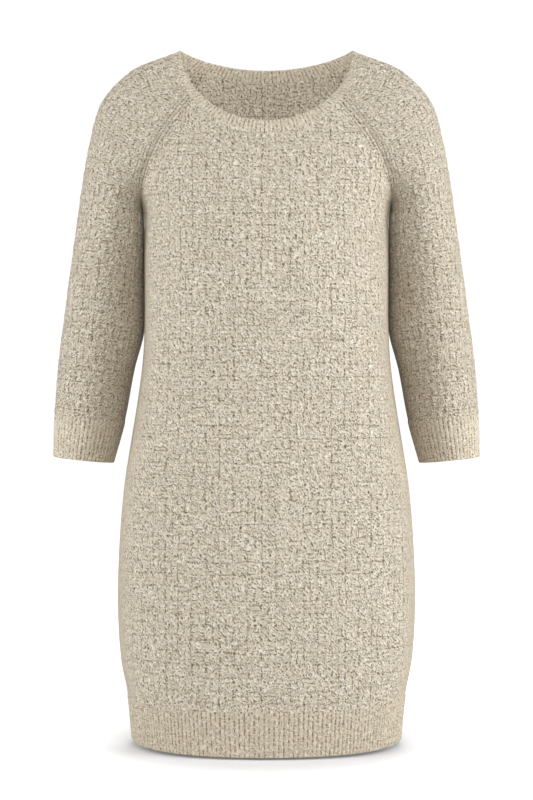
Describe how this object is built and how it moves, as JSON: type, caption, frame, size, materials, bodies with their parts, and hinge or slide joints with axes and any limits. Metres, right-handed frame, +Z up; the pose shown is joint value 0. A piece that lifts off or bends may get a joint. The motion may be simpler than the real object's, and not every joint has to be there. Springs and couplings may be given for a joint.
{
  "type": "sweater dress",
  "caption": "Worn-form hollow knitted raglan sweater dress with open neck, ribbed hem and three-quarter sleeves.",
  "frame": {"origin": "between the shoulders at the height of the back of the neckline, where the wearer carries the dress", "axes": "+X to the wearer's left, -Y out of the front, +Z up"},
  "size_m": [0.5438, 0.243, 0.8785],
  "materials": {
    "textured_knit": "matt marled oatmeal yarn in a small woven-looking relief",
    "rib_knit": "matt marled oatmeal yarn in fine ribs"
  },
  "bodies": {
    "root": {"front_panel": "textured_knit", "back_panel": "textured_knit", "hem_band_front": "rib_knit", "hem_band_back": "rib_knit", "sleeve_left": "textured_knit", "sleeve_right": "textured_knit", "cuff_left": "rib_knit", "cuff_right": "rib_knit", "neckband": "rib_knit"}
  },
  "joints": []
}
